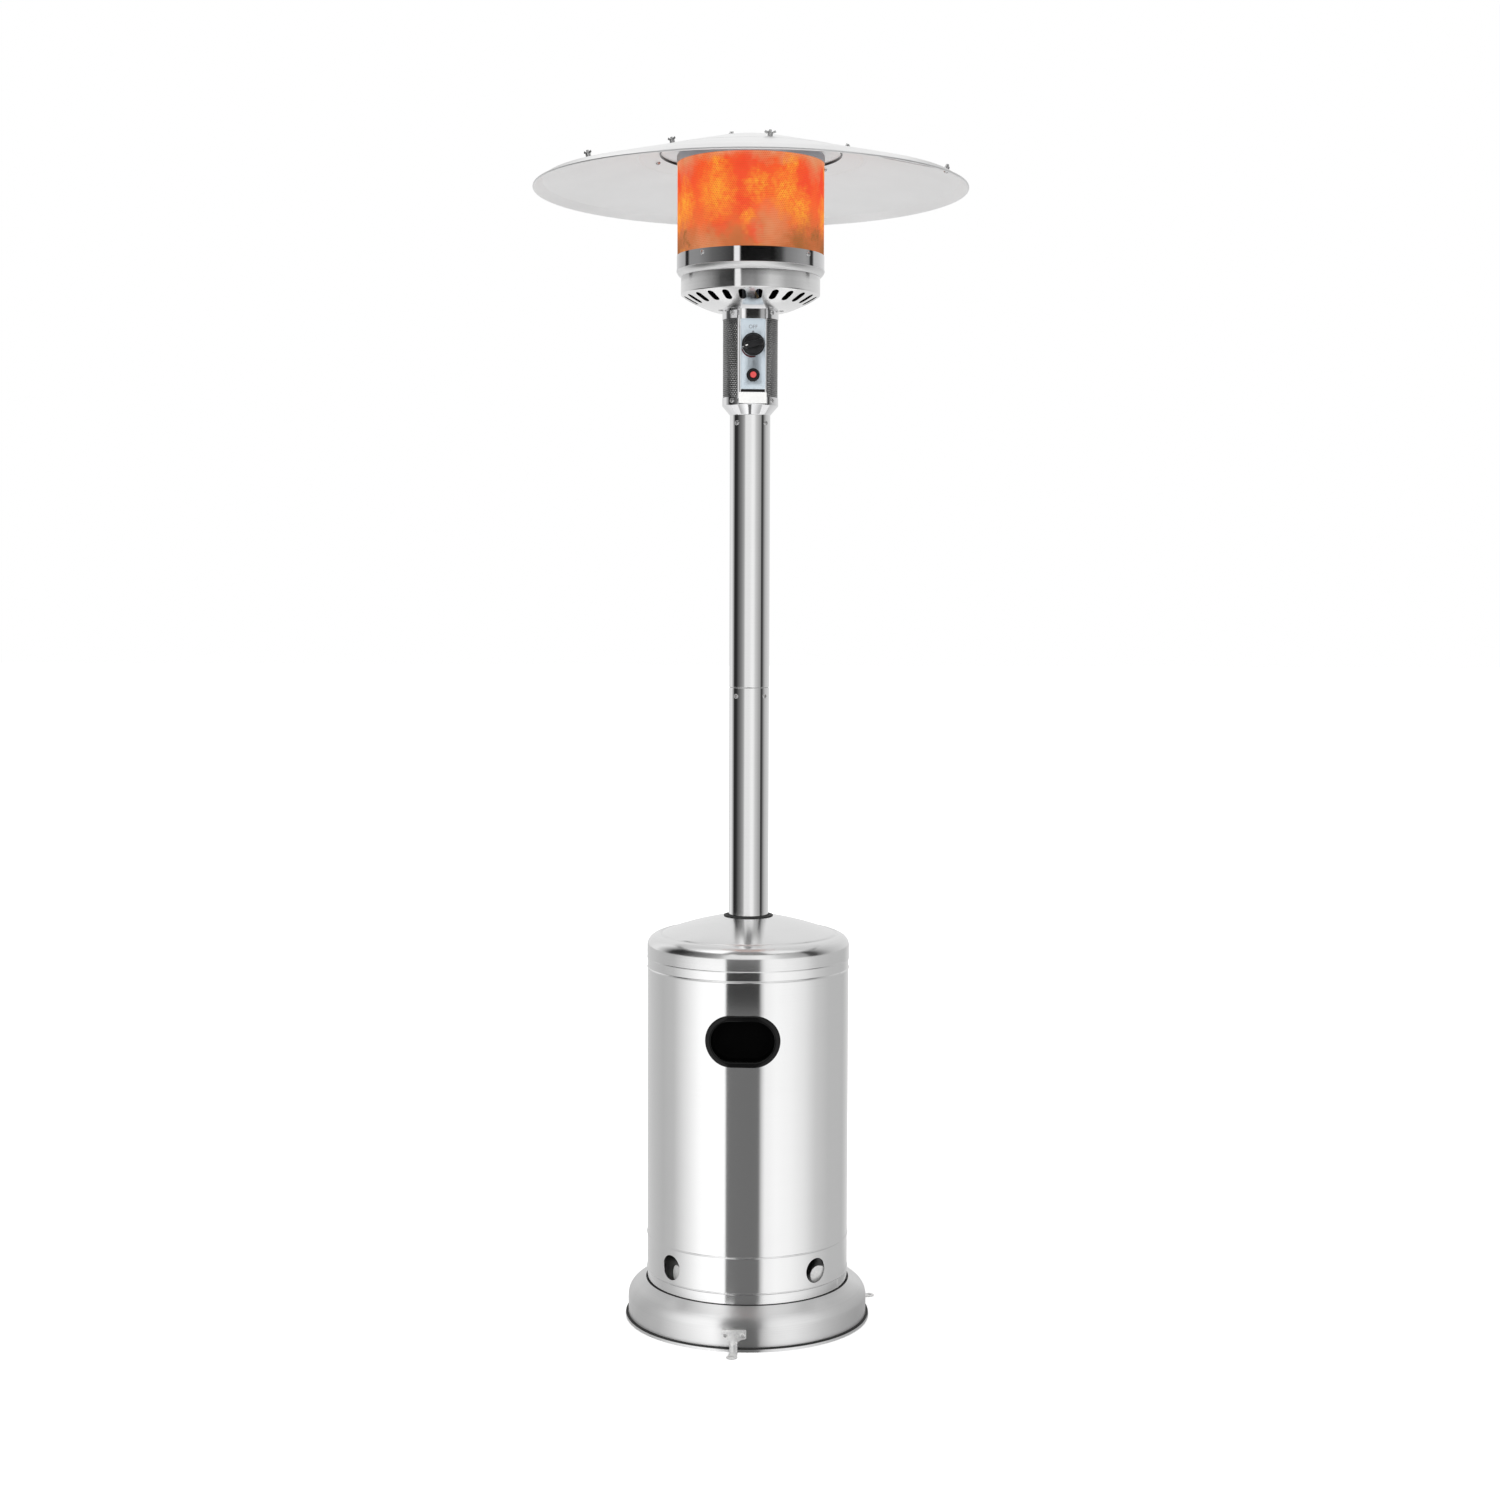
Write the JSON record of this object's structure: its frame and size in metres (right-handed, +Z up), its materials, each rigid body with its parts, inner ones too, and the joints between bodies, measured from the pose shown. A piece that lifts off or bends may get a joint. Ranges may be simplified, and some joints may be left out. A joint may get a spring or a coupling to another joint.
{
  "type": "propane patio heater",
  "caption": "Free-standing mushroom patio heater: round base, lift-up tank housing, post, neck with gas knob and igniter, glowing mesh emitter under a wide reflector.",
  "frame": {"origin": "on the ground, on the upright axis of the post", "axes": "+Z up along the post, -Y towards the front with the control panel and the handle, +X to the right"},
  "size_m": [0.813, 0.8129, 2.2428],
  "materials": {
    "brushed_steel": "brushed stainless sheet, satin, with the grain around the wall",
    "chrome": "polished, mirror-like",
    "polished_steel": "polished stainless, softly reflecting",
    "neck_mesh": "fine perforated steel",
    "reflector_sheet": "spun aluminium, satin",
    "hot_mesh": "fine steel mesh glowing orange-red",
    "heated_steel": "heat-tinted steel",
    "zinc_steel": "zinc-plated, satin",
    "fasteners": "zinc-plated",
    "black_rubber": "matt black",
    "black_plastic": "moulded, fine grain, half gloss",
    "red_plastic": "moulded, glossy",
    "control_print": "printed satin plate, pale blue-grey",
    "brass": "machined",
    "copper": "drawn copper",
    "ceramic": "glazed ceramic, white"
  },
  "bodies": {
    "stand": {"base_pan": "brushed_steel", "lower_post": "brushed_steel", "upper_post": "brushed_steel", "head_band": "chrome", "neck_cup": "chrome", "neck_top_ring": "chrome", "panel_channel": "chrome", "head_bowl": "polished_steel", "neck_screen": "neck_mesh", "reflector_hub": "reflector_sheet", "reflector_panel_front": "reflector_sheet", "reflector_panel_right": "reflector_sheet", "reflector_panel_left": "reflector_sheet", "emitter_screen": "hot_mesh", "emitter_cap": "heated_steel", "burner": "heated_steel", "burner_deck": "heated_steel", "mixer_tube": "heated_steel", "support_leg_left": "zinc_steel", "support_leg_right": "zinc_steel", "support_leg_rear": "zinc_steel", "anchor_bracket_front": "zinc_steel", "anchor_bracket_right": "zinc_steel", "anchor_bracket_left": "zinc_steel", "base_plate": "zinc_steel", "pilot_bracket": "zinc_steel", "anchor_screws": "fasteners", "leg_foot_bolts": "fasteners", "leg_post_bolts": "fasteners", "post_screws": "fasteners", "neck_screws": "fasteners", "bowl_screws": "fasteners", "band_screws": "fasteners", "reflector_studs": "fasteners", "stud_spacers": "fasteners", "reflector_screws": "fasteners", "wing_nuts": "fasteners", "igniter_nut": "fasteners", "base_edge_trim": "black_rubber", "igniter_body": "black_plastic", "tilt_switch": "black_plastic", "control_plate": "control_print", "valve_bonnet": "brass", "gas_valve_body": "brass", "gas_inlet_fitting": "brass", "orifice_nozzle": "brass", "pilot_burner": "brass", "gas_pipe": "copper", "thermocouple": "copper", "spark_electrode": "ceramic"},
    "tank_housing": {"housing_shell": "brushed_steel", "housing_top": "brushed_steel", "post_grommet": "black_rubber", "handle_cup": "black_plastic"},
    "valve_plug": {"valve_plug": "brass"},
    "control_knob": {"control_knob": "black_plastic", "knob_stem": "fasteners"},
    "igniter_button": {"igniter_button": "red_plastic"}
  },
  "joints": [
    {"name": "housing_lift", "type": "slide", "parent": "stand", "child": "tank_housing", "axis": [0, 0, 1], "range_m": [0, 0.52]},
    {"name": "valve_turn", "type": "hinge", "parent": "stand", "child": "valve_plug", "pos_m": [0.00401, -0.04582, 1.847], "axis": [0.0872, -0.9962, 0], "range_deg": [-105, 75]},
    {"name": "knob_push", "type": "slide", "parent": "valve_plug", "child": "control_knob", "axis": [-0.0872, 0.9962, 0], "range_m": [0, 0.003], "stiffness_N_per_m": 1500},
    {"name": "igniter_push", "type": "slide", "parent": "stand", "child": "igniter_button", "axis": [-0.0872, 0.9962, 0], "range_m": [0, 0.0035], "stiffness_N_per_m": 1200}
  ]
}
